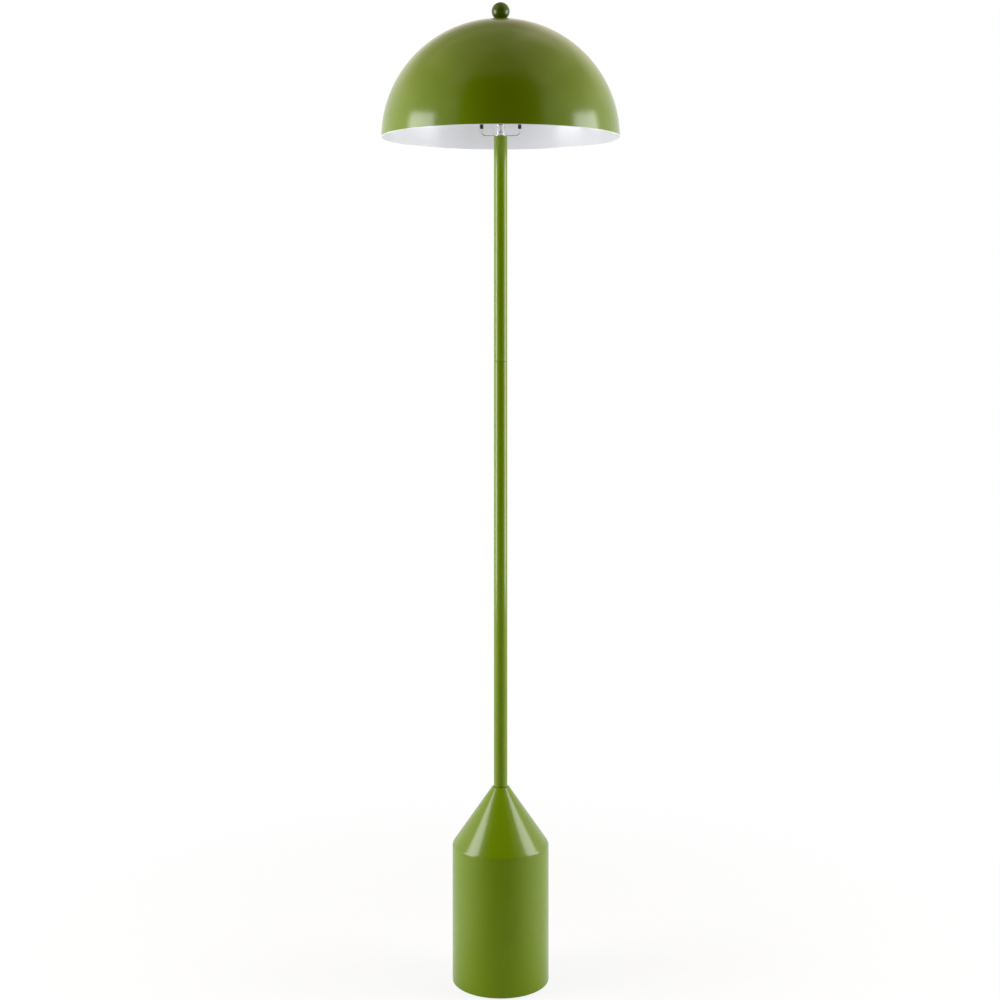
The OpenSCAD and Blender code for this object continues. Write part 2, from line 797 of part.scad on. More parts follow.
module switch_spindle() {
    spindle_tail = 1;
    color(brass_tone) towards_front(switch_z) translate([0, 0, spindle_tail])
        cylinder(r = spindle_r, h = knob_back + knob_len - knob_end - spindle_tail);
}

module switch_knob() {
    groove_r = 1;
    color(black_plastic) towards_front(switch_z) difference() {
        translate([0, 0, knob_back]) cylinder(d = knob_d, h = knob_len);
        translate([0, 0, knob_back - cut])
            cylinder(r = spindle_r + fit, h = knob_len - knob_end + cut);
        for (i = [1:knob_grooves]) rotate(360 * i / knob_grooves)
            translate([knob_d / 2 + groove_r / 2, 0, knob_back - cut])
                cylinder(r = groove_r, h = knob_len + 2 * cut, $fn = 24);
    }
}

module bulb_contact() {
    tip_r = 3;
    tip_top_r = 4.6;
    color(bright_steel) translate([0, 0, bulb_z])
        cylinder(r1 = tip_r, r2 = tip_top_r, h = bulb_tip_h);
}

module bulb_insulator() {
    foot_r = 4.8;
    top_inset = 2;
    color(black_plastic) translate([0, 0, bulb_z + bulb_tip_h])
        cylinder(r1 = foot_r, r2 = bulb_cap_r - top_inset, h = bulb_insulator_h);
}

module bulb_screw_cap() {
    cap_t = 0.5;
    color(bright_steel) difference() {
        translate([0, 0, bulb_thread_z]) cylinder(r = bulb_cap_r, h = bulb_cap_h);
        translate([0, 0, bulb_thread_z + cap_t]) cylinder(r = bulb_cap_r - cap_t, h = bulb_cap_h);
    }
}

module bulb_housing() {
    neck_r = bulb_neck_d / 2;
    collar_r = neck_r + 1;
    collar_z = bulb_neck_z + 4;
    color(inside_white) rotate_extrude() polygon([
        [neck_r - bulb_wall, bulb_neck_z], [neck_r, bulb_neck_z], [collar_r, collar_z],
        [bulb_split_r, bulb_split_z], [bulb_split_r - bulb_wall, bulb_split_z],
        [collar_r - bulb_wall, collar_z]]);
}

module bulb_led_board() {
    color(bright_steel) translate([0, 0, bulb_split_z - bulb_wall])
        cylinder(r = bulb_split_r - 2 * bulb_wall - gap, h = bulb_wall);
}

module bulb_diffuser() {
    color(inside_white) difference() {
        translate([0, 0, bulb_mid]) sphere(r = bulb_r);
        translate([0, 0, bulb_mid]) sphere(r = bulb_r - bulb_wall);
        translate([0, 0, bulb_split_z - bulb_d]) cylinder(r = bulb_d, h = bulb_d);
    }
}

felt_pad();
base_plate();
base_plate_screws();
base_shell();
base_weight();
base_cone();
tie_rod();
rod_nuts();
rod_washers();
cord_gland();
gland_nut();
connector_block();
connector_screws();
inner_lead();
lead_conductors();
pole_bottom_plug();
pole_lower();
pole_joint_socket();
pole_joint_stud();
pole_upper();
pole_top_plug();
nipple();
harp_saddle();
harp_wire();
harp_sleeve_left();
harp_sleeve_right();
harp_seat();
shade_washer();
shade();
finial_ball();
finial_insert();
socket_cap();
socket_set_screw();
socket_shell();
socket_liner();
socket_core();
socket_screw_shell();
socket_contact();
socket_terminals();
switch_spindle();
switch_knob();
bulb_contact();
bulb_insulator();
bulb_screw_cap();
bulb_housing();
bulb_led_board();
bulb_diffuser();
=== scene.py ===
import math

import bmesh
import bpy
from mathutils import Matrix, Vector


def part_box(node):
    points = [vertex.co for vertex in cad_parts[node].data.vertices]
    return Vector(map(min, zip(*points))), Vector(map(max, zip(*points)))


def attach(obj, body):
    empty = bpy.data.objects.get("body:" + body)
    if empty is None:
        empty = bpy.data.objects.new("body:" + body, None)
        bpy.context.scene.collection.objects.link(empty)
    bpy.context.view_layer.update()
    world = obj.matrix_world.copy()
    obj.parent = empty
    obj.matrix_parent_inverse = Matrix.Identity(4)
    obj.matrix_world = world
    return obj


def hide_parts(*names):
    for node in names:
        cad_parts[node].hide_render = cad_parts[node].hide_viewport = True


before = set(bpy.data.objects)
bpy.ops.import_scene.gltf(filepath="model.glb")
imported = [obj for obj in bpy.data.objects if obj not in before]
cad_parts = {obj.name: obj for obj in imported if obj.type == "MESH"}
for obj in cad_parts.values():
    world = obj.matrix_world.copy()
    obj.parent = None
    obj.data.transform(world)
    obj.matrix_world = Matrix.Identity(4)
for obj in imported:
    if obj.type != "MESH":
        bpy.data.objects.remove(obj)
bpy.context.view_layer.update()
MM = 0.001

# ---------------------------------------------------------------------------
# Camera. A level camera stands in front of the lamp, a little over a metre
# above the floor, and looks at it through a normal lens shifted downwards.
# ---------------------------------------------------------------------------
CAMERA_DISTANCE = 2.5459
CAMERA_HEIGHT = 1.0579
CAMERA_LENS = 58.08
CAMERA_SHIFT = (-0.0006, -0.19107)

camera_data = bpy.data.cameras.new("camera")
camera_data.lens = CAMERA_LENS
camera_data.sensor_width = 36
camera_data.shift_x, camera_data.shift_y = CAMERA_SHIFT
camera_data.clip_end = 50
camera = bpy.data.objects.new("camera", camera_data)
camera.location = (0, -CAMERA_DISTANCE, CAMERA_HEIGHT)
camera.rotation_euler = (math.radians(90), 0, 0)
bpy.context.scene.collection.objects.link(camera)
bpy.context.scene.camera = camera
bpy.context.scene.view_settings.view_transform = "Standard"


# ---------------------------------------------------------------------------
# Studio. A white sweep behind the lamp, a dark room behind the camera, a tall
# soft box on each side for the streaks in the paint, and a warm panel overhead.
# ---------------------------------------------------------------------------
TINY = 0.0001
SOFT_BOX_SIZE = (0.86, 1.52)
SOFT_BOX_DISTANCE = 1.6
SOFT_BOX_HEIGHT = 1.06
TOP_PANEL_SIZE = (2.2, 1.5)
TOP_PANEL_PLACE = (0, -0.12, 2.5)
TOP_PANEL_POWER = 4
TOP_PANEL_COLOUR = (1.0, 0.9, 0.5)
FLOOR_REACH = 7
FLOOR_PALE = (0.88, 0.88, 0.88)
FLOOR_DIM = (0.3, 0.3, 0.3)


class Signal:
    """One socket of a node tree, on which sums and products add Math nodes."""

    def __init__(self, nodes, socket):
        self.nodes = nodes
        self.socket = socket

    def math(self, operation, *values):
        return self.nodes.node("ShaderNodeMath", {"operation": operation},
                               dict(enumerate((self,) + values)))

    def __add__(self, other):
        return self.math("ADD", other)

    def __radd__(self, other):
        return self.math("ADD", other)

    def __sub__(self, other):
        return self.math("SUBTRACT", other)

    def __rsub__(self, other):
        return self.nodes.node("ShaderNodeMath", {"operation": "SUBTRACT"}, {0: other, 1: self})

    def __mul__(self, other):
        return self.math("MULTIPLY", other)

    def __rmul__(self, other):
        return self.math("MULTIPLY", other)

    def __truediv__(self, other):
        return self.math("DIVIDE", other)

    def ramp(self, low, high, to_low=0.0, to_high=1.0):
        """Runs smoothly from to_low to to_high as the signal goes from low to high."""
        return self.nodes.node("ShaderNodeMapRange", {"interpolation_type": "SMOOTHSTEP"},
                               {"Value": self, "From Min": low, "From Max": high,
                                "To Min": to_low, "To Max": to_high})


class Nodes:
    """A node tree of a material or the world."""

    def __init__(self, tree):
        self.tree = tree
        tree.nodes.clear()

    def node(self, kind, settings=None, inputs=None, out=0):
        made = self.tree.nodes.new(kind)
        for name, value in (settings or {}).items():
            setattr(made, name, value)
        for name, value in (inputs or {}).items():
            self.feed(made.inputs[name], value)
        return None if out is None else Signal(self, made.outputs[out])

    def feed(self, socket, value):
        """Links a signal to a socket, or sets the socket to a constant."""
        if isinstance(value, Signal):
            self.tree.links.new(value.socket, socket)
        else:
            socket.default_value = value

    def mix(self, factor, first, second):
        """A colour between two colours."""
        made = self.tree.nodes.new("ShaderNodeMix")
        made.data_type = "RGBA"
        sockets = {socket.identifier: socket for socket in made.inputs}
        self.feed(sockets["Factor_Float"], factor)
        self.feed(sockets["A_Color"], rgba(first))
        self.feed(sockets["B_Color"], rgba(second))
        result = next(s for s in made.outputs if s.identifier == "Result_Color")
        return Signal(self, result)

    def part(self, vector, axis):
        """The x, y or z of a vector."""
        return self.node("ShaderNodeSeparateXYZ", None, {0: vector}, out=axis)


def rgba(colour):
    """A plain colour gets its alpha of 1. A signal stays as it is."""
    return colour if isinstance(colour, Signal) else tuple(colour) + (1.0,)


def light_studio():
    """A room that only the lamp sees, round a camera that sees plain white."""
    world = bpy.data.worlds.new("studio")
    world.use_nodes = True
    bpy.context.scene.world = world
    nodes = Nodes(world.node_tree)
    heading = nodes.node("ShaderNodeTexCoord", out="Generated")
    across = nodes.part(heading, "X")
    depth = nodes.part(heading, "Y")
    height = nodes.part(heading, "Z")
    # 1 on the camera's side, 0 at right angles to it and -1 behind the lamp.
    towards = depth * -1 / (across * across + depth * depth + TINY).math("SQRT")
    # The walls stop before the camera's side. They are brighter beside the lamp, and fade upwards.
    beside = height.ramp(0.3, 0.45) * towards.ramp(-0.6, -0.1, 0, 0.5)
    level = height.ramp(0.35, 0.6, 0.52, 0.4) * (1 + beside - height.ramp(0.56, 0.94))
    high_front = height.ramp(0.3, 0.6, 0, 0.5) * towards.ramp(0.5, 0.75)
    walls = towards.ramp(0.775, 0.715) * level * (1 - high_front)
    # The sweep behind the lamp, and its brighter corner on the right.
    sweep = towards.ramp(0.1, -0.45, 0, 0.6) * (1 - height.ramp(0.3, 0.62, 0, 0.8))
    corner = towards.ramp(-0.5, -0.9) * across.ramp(0.05, 0.25, 0, 0.45)
    tone = nodes.mix(height.ramp(0.2, 0.5), (1, 1, 1), (1.25, 1.1, 0.92))
    rays = nodes.node("ShaderNodeLightPath", out="Is Camera Ray")
    colour = nodes.mix(rays, nodes.mix(walls + sweep + corner, (0, 0, 0), tone), (1, 1, 1))
    background = nodes.node("ShaderNodeBackground", None, {"Color": colour, "Strength": 1.0})
    nodes.node("ShaderNodeOutputWorld", None, {"Surface": background}, out=None)


def add_panel(name, size, power, colour=(1.0, 1.0, 1.0)):
    """A light in the shape of a rectangle, which shines downwards until it is turned."""
    data = bpy.data.lights.new(name, "AREA")
    data.shape = "RECTANGLE"
    data.size, data.size_y = size
    data.energy = power
    data.color = colour
    light = bpy.data.objects.new(name, data)
    bpy.context.scene.collection.objects.link(light)
    return light


def add_soft_box(name, azimuth, power):
    """A tall panel that faces the lamp. The azimuth is counted from the camera's side."""
    turn = math.radians(azimuth)
    light = add_panel(name, SOFT_BOX_SIZE, power)
    light.location = (SOFT_BOX_DISTANCE * math.sin(turn), -SOFT_BOX_DISTANCE * math.cos(turn),
                      SOFT_BOX_HEIGHT)
    light.rotation_euler = (math.radians(90), 0, turn)


def add_top_panel():
    light = add_panel("top_panel", TOP_PANEL_SIZE, TOP_PANEL_POWER, TOP_PANEL_COLOUR)
    light.location = TOP_PANEL_PLACE
    light.visible_camera = False


def as_object(mesh, name):
    """Makes an object of a mesh and puts it in the scene."""
    data = bpy.data.meshes.new(name)
    mesh.to_mesh(data)
    mesh.free()
    made = bpy.data.objects.new(name, data)
    bpy.context.scene.collection.objects.link(made)
    return made


def add_floor():
    """A pale floor, which the camera and the paint see brighter than its own light makes it."""
    mesh = bmesh.new()
    bmesh.ops.create_grid(mesh, x_segments=1, y_segments=1, size=FLOOR_REACH)
    floor = as_object(mesh, "floor")
    material = bpy.data.materials.new("floor")
    material.use_nodes = True
    nodes = Nodes(material.node_tree)
    place = nodes.node("ShaderNodeTexCoord", out="Object")
    across = nodes.part(place, "X")
    depth = nodes.part(place, "Y")
    reach = (across * across + depth * depth + TINY).math("SQRT")
    side = (across / reach).math("ABSOLUTE")
    # The paint sees the floor dark in front of the lamp, and bright beside and behind it.
    front = (side * side * side * 0.86 + 0.1) * reach.ramp(0.08, 0.4, 0.5, 1.0)
    behind = side * 0.4 + 0.6
    back = depth.ramp(-0.15, 0.15)
    seen = front * (1 - back) + behind * back
    glossy_ray = nodes.node("ShaderNodeLightPath", out="Is Glossy Ray")
    through_ray = nodes.node("ShaderNodeLightPath", out="Is Transmission Ray")
    camera_ray = nodes.node("ShaderNodeLightPath", out="Is Camera Ray")
    # The floor far in front sends less light back to the lamp.
    far_front = reach.ramp(0.2, 0.9) * (1 - back) * (1 - side * side) * (1 - camera_ray)
    lit = nodes.node("ShaderNodeBsdfDiffuse", None, {
        "Color": nodes.mix(far_front, FLOOR_PALE, FLOOR_DIM)})
    shown = nodes.mix(camera_ray, nodes.mix(seen, (0, 0, 0), (1, 1, 1)), (1, 1, 1))
    glow = nodes.node("ShaderNodeEmission", None, {"Color": shown, "Strength": 1.0})
    # The camera sees white, with a share of the lit floor near the lamp for its shadow.
    far = reach.ramp(0.2, 1.1, 0.84, 1.0)
    share = camera_ray * far + (glossy_ray + through_ray)
    blend = nodes.node("ShaderNodeMixShader", None, {0: share, 1: lit, 2: glow})
    nodes.node("ShaderNodeOutputMaterial", None, {"Surface": blend}, out=None)
    floor.data.materials.append(material)


light_studio()
add_soft_box("soft_box_left", azimuth=-78, power=27)
add_soft_box("soft_box_right", azimuth=85.5, power=24)
add_top_panel()
add_floor()


# ---------------------------------------------------------------------------
# Felt pad. A disc of pressed black wool felt, glued under the base, so that
# the steel doesn't scratch the floor.
# ---------------------------------------------------------------------------
TURN = 2 * math.pi
SHARP_ANGLE = 34
# Points closer than this become one.
MERGE = 1e-6


def bevel(mesh, geom, offset, segments, affect="EDGES"):
    bmesh.ops.bevel(mesh, geom=geom, offset=offset, offset_type="OFFSET", segments=segments,
                    profile=0.5, material=-1, affect=affect)


def rounded(mesh, verts, radii):
    """Rounds the corners of an outline, each with its own radius."""
    for vert, radius in zip(verts, radii):
        if not radius:
            continue
        before, after = [e.other_vert(vert).co - vert.co for e in vert.link_edges]
        bevel(mesh, [vert], radius / math.tan(before.angle(after) / 2), 6, "VERTICES")


def lathe(points, steps=96, closed=True):
    """Turns an outline of (radius, height) or (radius, height, rounding) round the Z axis.
    An open outline starts and ends on the axis."""
    mesh = bmesh.new()
    verts = [mesh.verts.new((p[0], 0, p[1])) for p in points]
    ends = verts[1:] + verts[:1] if closed else verts[1:]
    for start, end in zip(verts, ends):
        mesh.edges.new((start, end))
    rounded(mesh, verts, [p[2] if len(p) > 2 else 0 for p in points])
    bmesh.ops.spin(mesh, geom=mesh.verts[:] + mesh.edges[:], cent=(0, 0, 0), axis=(0, 0, 1),
                   angle=TURN, steps=steps, use_merge=True)
    bmesh.ops.remove_doubles(mesh, verts=mesh.verts, dist=MERGE)
    bmesh.ops.recalc_face_normals(mesh, faces=mesh.faces)
    return mesh


def shade_smooth(data, sharp=SHARP_ANGLE):
    """Smooth shading, except over edges sharper than an angle in degrees."""
    data.polygons.foreach_set("use_smooth", [True] * len(data.polygons))
    data.set_sharp_from_angle(angle=math.radians(sharp))


def finish_piece(mesh, name, body, material, nodes, sharp=SHARP_ANGLE):
    """Makes a smooth-shaded piece of a mesh, which rides on a body and stands for CAD nodes."""
    piece = as_object(mesh, name)
    shade_smooth(piece.data, sharp)
    piece.data.materials.append(material)
    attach(piece, body)
    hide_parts(*nodes)
    return piece


def new_finish(name):
    """An empty material, its nodes and the object's own coordinates."""
    material = bpy.data.materials.new(name)
    material.use_nodes = True
    nodes = Nodes(material.node_tree)
    return material, nodes, nodes.node("ShaderNodeTexCoord", out="Object")


def surface(nodes, bump, bump_height, bump_strength, **inputs):
    """The shader that ends a material. Varying values come in as signals."""
    sockets = {name.replace("_", " "): value for name, value in inputs.items()}
    sockets["Normal"] = nodes.node("ShaderNodeBump", None, {
        "Height": bump, "Distance": bump_height * MM, "Strength": bump_strength})
    shader = nodes.node("ShaderNodeBsdfPrincipled", None, sockets, out="BSDF")
    nodes.node("ShaderNodeOutputMaterial", None, {"Surface": shader}, out=None)


def noise(nodes, place, per_metre, detail=2.0, roughness=0.5):
    """Soft grain, with about so many grains in a metre."""
    return nodes.node("ShaderNodeTexNoise", None, {
        "Vector": place, "Scale": per_metre, "Detail": detail, "Roughness": roughness})


def span(node):
    """Radius, lowest and highest point of a round CAD node."""
    low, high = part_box(node)
    return (high.x - low.x) / 2, low.z, high.z


def felt_finish():
    material, nodes, place = new_finish("pressed_felt")
    fibres = noise(nodes, place, 1900, 4, 0.7)
    clumps = noise(nodes, place, 160, 2)
    colour = nodes.mix(fibres * 0.6 + clumps * 0.4, (0.008, 0.008, 0.009), (0.05, 0.05, 0.052))
    surface(nodes, bump=fibres, bump_height=0.5, bump_strength=0.8, Base_Color=colour,
            Roughness=0.95, Sheen_Weight=0.25, Specular_IOR_Level=0.2)
    return material


felt_r, felt_bottom, felt_top = span("felt_pad")
felt = felt_finish()
finish_piece(
    lathe([(0, felt_bottom), (felt_r, felt_bottom, 0.4 * MM), (felt_r, felt_top, 0.5 * MM),
           (0, felt_top)], steps=160, closed=False),
    "felt_disc", "stand", felt, ["felt_pad"])


# ---------------------------------------------------------------------------
# Base shell. Spun steel with its bottom edge rolled in, sprayed leaf green
# and stoved. The concrete weight is glued inside it.
# ---------------------------------------------------------------------------
SHEET = 1.2 * MM
EDGE = 2.5 * MM
FLANGE_WIDTH = 11 * MM
SEAM_ROUNDING = 0.35 * MM
GLAND_HOLE_R = 6.1 * MM
# The wall gets edges above and below the gland, so the hole is cut in faces of its own.
HOLE_BAND = 14 * MM
LEAF_GREEN = (0.156, 0.248, 0.0008)


def paint_colour(nodes, place):
    """Leaf green with the faint clouds that a spray gun leaves."""
    clouds = noise(nodes, place, 7, 3)
    specks = noise(nodes, place, 900, 1)
    green = nodes.mix(clouds.ramp(0.3, 0.7), LEAF_GREEN, (0.165, 0.262, 0.0012))
    return nodes.mix(specks.ramp(0.55, 0.8) * 0.05, green, (0.23, 0.34, 0.02))


def paint_bump(nodes, place):
    """The orange peel of stoved paint."""
    return noise(nodes, place, 420, 2, 0.45)


def green_paint():
    material, nodes, place = new_finish("leaf_green_paint")
    wear = noise(nodes, place, 60, 3)
    surface(nodes, bump=paint_bump(nodes, place), bump_height=0.05, bump_strength=0.25,
            Base_Color=paint_colour(nodes, place), Roughness=wear * 0.06 + 0.17, IOR=1.5)
    return material


def combine(piece, shape, operation):
    """Cuts a shape out of a piece, or joins it to the piece."""
    tool = as_object(shape, "tool")
    modifier = piece.modifiers.new("tool", "BOOLEAN")
    modifier.operation = operation
    modifier.solver = "EXACT"
    modifier.object = tool
    bpy.context.view_layer.update()
    result = piece.evaluated_get(bpy.context.evaluated_depsgraph_get())
    made = bpy.data.meshes.new_from_object(result)
    piece.modifiers.clear()
    piece.data = made
    bpy.data.objects.remove(tool)
    shade_smooth(made)


def drill(piece, radius, centre, direction, depth):
    """Makes a round hole in a piece."""
    shape = bmesh.new()
    bmesh.ops.create_cone(shape, cap_ends=True, segments=48, radius1=radius, radius2=radius,
                          depth=depth)
    turn = Vector((0, 0, 1)).rotation_difference(Vector(direction)).to_matrix().to_4x4()
    bmesh.ops.transform(shape, matrix=Matrix.Translation(centre) @ turn, verts=shape.verts)
    combine(piece, shape, "DIFFERENCE")


paint = green_paint()
base_r, shell_bottom, shell_top = span("base_shell")
flange = base_r - EDGE - FLANGE_WIDTH
gland_low, gland_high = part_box("cord_gland")
gland_z = (gland_low.z + gland_high.z) / 2
shell = finish_piece(
    lathe([(flange, shell_bottom), (base_r, shell_bottom, EDGE),
           (base_r, gland_z - HOLE_BAND + EDGE), (base_r, gland_z + HOLE_BAND),
           (base_r, shell_top, SEAM_ROUNDING), (base_r - SHEET, shell_top),
           (base_r - SHEET, gland_z + HOLE_BAND), (base_r - SHEET, gland_z - HOLE_BAND + EDGE),
           (base_r - SHEET, shell_bottom + SHEET, EDGE - SHEET), (flange, shell_bottom + SHEET)],
          steps=192),
    "spun_base_shell", "stand", paint, ["base_shell"])
drill(shell, GLAND_HOLE_R, (0, base_r, gland_z), (0, 1, 0), depth=20 * MM)


# ---------------------------------------------------------------------------
# Base cone. Spun in the same steel and finished with the shell. A lip inside
# it sits in the shell, and the pole stands on its flat top.
# ---------------------------------------------------------------------------
CONE_TOP_R = 13.15 * MM
SHOULDER = 8 * MM
CONE_SHOULDER_HEIGHT = 89.5 * MM
LIP_FIT = 0.1 * MM

rod_r, rod_low, rod_high = span("tie_rod")
rod_hole_r = rod_r + 0.3 * MM
cone_r, cone_bottom, cone_top = span("base_cone")
lip_r = cone_r - SHEET - LIP_FIT
corner_z = cone_top - CONE_SHOULDER_HEIGHT
slope = math.atan2(CONE_SHOULDER_HEIGHT, cone_r - CONE_TOP_R)
inner_drop = SHEET / math.cos(slope)
finish_piece(
    lathe([(rod_hole_r, cone_top), (CONE_TOP_R, cone_top, 0.7 * MM),
           (cone_r, corner_z, SHOULDER), (cone_r, shell_top, SEAM_ROUNDING),
           (lip_r, shell_top), (lip_r, cone_bottom), (cone_r - 2 * SHEET, cone_bottom),
           (cone_r - 2 * SHEET, corner_z + 2 * SHEET * math.tan(slope) - inner_drop),
           (CONE_TOP_R, cone_top - inner_drop), (rod_hole_r, cone_top - SHEET)],
          steps=192),
    "spun_base_cone", "stand", paint, ["base_cone"])


# ---------------------------------------------------------------------------
# Weight and bottom plate. The weight is cast concrete with a hollow for the
# wiring. A zinc plated steel plate with three countersunk screws closes it.
# ---------------------------------------------------------------------------
def concrete_finish():
    material, nodes, place = new_finish("cast_concrete")
    sand = noise(nodes, place, 700, 4, 0.65)
    damp = noise(nodes, place, 22, 3)
    pores = nodes.node("ShaderNodeTexVoronoi", None, {"Vector": place, "Scale": 260}, out=0)
    # The pores are sunk by the bump and also painted darker, which is painted shade in the pits.
    holes = pores.ramp(0.16, 0.06)
    grey = nodes.mix(sand * 0.6 + damp * 0.4, (0.24, 0.235, 0.225), (0.48, 0.475, 0.455))
    surface(nodes, bump=sand * 0.4 - holes, bump_height=0.6, bump_strength=0.7,
            Base_Color=nodes.mix(holes, grey, (0.12, 0.118, 0.11)), Roughness=0.92)
    return material


def metal(name, bright, dull, roughness, grain=0.1):
    """Bare or plated metal with a fine grain and slightly duller patches."""
    material, nodes, place = new_finish(name)
    fine = noise(nodes, place, 1400, 3, 0.6)
    patches = noise(nodes, place, 45, 3)
    surface(nodes, bump=fine, bump_height=0.03, bump_strength=grain, Metallic=1.0,
            Base_Color=nodes.mix(patches.ramp(0.3, 0.75), bright, dull),
            Roughness=patches * 0.12 + fine * 0.06 + roughness)
    return material


def dress(material, *names):
    """Gives a material to CAD nodes that stay as they are."""
    for name in names:
        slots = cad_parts[name].data.materials
        slots.clear()
        slots.append(material)


zinc = metal("zinc_plated_steel", (0.64, 0.65, 0.67), (0.47, 0.48, 0.5), 0.22, 0.3)
dress(concrete_finish(), "base_weight")
dress(zinc, "base_plate", "base_plate_screws")


# ---------------------------------------------------------------------------
# Tie rod. A hollow rod with a rolled thread runs up through the weight and
# the cone into the pole. A nut and a washer at each end of the weight hold it.
# ---------------------------------------------------------------------------
ROD_PITCH = 1 * MM
ROD_BORE_R = 3.3 * MM
THREAD_DEPTH = 0.5 * MM
THREAD_FIT = 0.05 * MM
NUT_ACROSS = 17 * MM
NUT_HEIGHT = 6.8 * MM
# A drill this long goes through any of the pieces.
THROUGH = 1


def verts_of(made):
    """The vertices that an operator made."""
    return [v for v in made["geom"] if isinstance(v, bmesh.types.BMVert)]


def threaded(radius, depth, pitch, low, high, steps=24):
    """A solid rod with a thread: one turn is spun, doubled until it is long enough, and trimmed."""
    mesh = bmesh.new()
    start = low - pitch
    # The crest is flat over the middle fifth of the pitch.
    outline = [(radius - depth, 0), (radius, 0.4), (radius, 0.6), (radius - depth, 1)]
    verts = [mesh.verts.new((r, 0, start + share * pitch)) for r, share in outline]
    edges = [mesh.edges.new(pair) for pair in zip(verts, verts[1:])]
    bmesh.ops.spin(mesh, geom=verts + edges, cent=(0, 0, 0), axis=(0, 0, 1),
                   dvec=(0, 0, pitch / steps), angle=TURN, steps=steps)
    length = pitch
    while start + length < high + pitch:
        made = bmesh.ops.duplicate(mesh, geom=mesh.verts[:] + mesh.edges[:] + mesh.faces[:])
        bmesh.ops.translate(mesh, vec=(0, 0, length), verts=verts_of(made))
        length *= 2
    bmesh.ops.remove_doubles(mesh, verts=mesh.verts, dist=0.02 * MM)
    for height, way in ((low, -1), (high, 1)):
        bmesh.ops.bisect_plane(mesh, geom=mesh.verts[:] + mesh.edges[:] + mesh.faces[:],
                               plane_co=(0, 0, height), plane_no=(0, 0, way), clear_outer=True)
    bmesh.ops.holes_fill(mesh, edges=[e for e in mesh.edges if e.is_boundary], sides=0)
    bmesh.ops.recalc_face_normals(mesh, faces=mesh.faces)
    return mesh


def hexagon(mesh, across, low, high):
    """A six-sided block with softened edges."""
    made = bmesh.ops.create_cone(mesh, cap_ends=True, segments=6, depth=high - low,
                                 radius1=across / math.sqrt(3), radius2=across / math.sqrt(3))
    verts = made["verts"]
    bmesh.ops.translate(mesh, vec=(0, 0, (low + high) / 2), verts=verts)
    flat = {e for v in verts for e in v.link_edges if abs(e.verts[0].co.z - e.verts[1].co.z) < MM}
    bevel(mesh, list(flat), 0.6 * MM, 3)


tie_rod = finish_piece(
    threaded(rod_r, THREAD_DEPTH, ROD_PITCH, rod_low, rod_high),
    "threaded_rod", "stand", zinc, ["tie_rod"])
drill(tie_rod, ROD_BORE_R, (0, 0, (rod_low + rod_high) / 2), (0, 0, 1), THROUGH)

_, nuts_low, nuts_high = span("rod_nuts")
blanks = bmesh.new()
hexagon(blanks, NUT_ACROSS, nuts_low, nuts_low + NUT_HEIGHT)
hexagon(blanks, NUT_ACROSS, nuts_high - NUT_HEIGHT, nuts_high)
nuts = finish_piece(blanks, "hex_nuts", "stand", zinc, ["rod_nuts"])
drill(nuts, rod_r + THREAD_FIT, (0, 0, nuts_low), (0, 0, 1), THROUGH)
dress(zinc, "rod_washers")


# ---------------------------------------------------------------------------
# Lead inlet. A moulded nylon gland through the back of the shell, its nut
# inside, and the small connector block where the lead is joined.
# ---------------------------------------------------------------------------
GLAND_BORE_R = 3.6 * MM
GLAND_BODY_R = 6 * MM
COLLAR_GAP = 0.2 * MM


def plastic(name, colour, second, roughness, texture=0.15, **more):
    """Moulded plastic with the fine texture of its mould and slight flow marks."""
    material, nodes, place = new_finish(name)
    mould = noise(nodes, place, 1100, 2)
    flow = noise(nodes, place, 30, 2)
    surface(nodes, bump=mould, bump_height=0.05, bump_strength=texture,
            Base_Color=nodes.mix(flow.ramp(0.3, 0.7), colour, second),
            Roughness=mould * 0.1 + roughness, **more)
    return material


def lay_down(mesh, height, to_back):
    """Turns a shape made along +Z so that it points to the back or the front, at a height."""
    turn = Matrix.Rotation(-math.pi / 2 if to_back else math.pi / 2, 4, "X")
    place = Matrix.Translation((0, 0, height)) @ turn
    bmesh.ops.transform(mesh, matrix=place, verts=mesh.verts)
    return mesh


black_nylon = plastic("black_nylon", (0.016, 0.016, 0.017), (0.024, 0.024, 0.025), 0.42, 0.35)
white_nylon = plastic("white_nylon", (0.78, 0.78, 0.76), (0.83, 0.83, 0.81), 0.38)
collar_r = (gland_high.x - gland_low.x) / 2
collar_y = base_r + COLLAR_GAP
gland = lathe([(GLAND_BORE_R, gland_low.y, 0.3 * MM), (GLAND_BODY_R, gland_low.y, 0.6 * MM),
               (GLAND_BODY_R, collar_y), (collar_r, collar_y),
               (collar_r, gland_high.y, 1.4 * MM), (GLAND_BORE_R, gland_high.y, 1.2 * MM)],
              steps=64)
finish_piece(
    lay_down(gland, gland_z, to_back=True),
    "lead_gland", "stand", black_nylon, ["cord_gland"])
nut_low, nut_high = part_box("gland_nut")
blank = bmesh.new()
hexagon(blank, (nut_high.x - nut_low.x) * math.sqrt(3) / 2, nut_low.y, nut_high.y)
lock_nut = finish_piece(
    lay_down(blank, gland_z, to_back=True),
    "gland_lock_nut", "stand", black_nylon, ["gland_nut"])
drill(lock_nut, GLAND_BODY_R + THREAD_FIT, (0, nut_low.y, gland_z), (0, 1, 0), depth=20 * MM)
dress(white_nylon, "connector_block")
dress(zinc, "connector_screws")


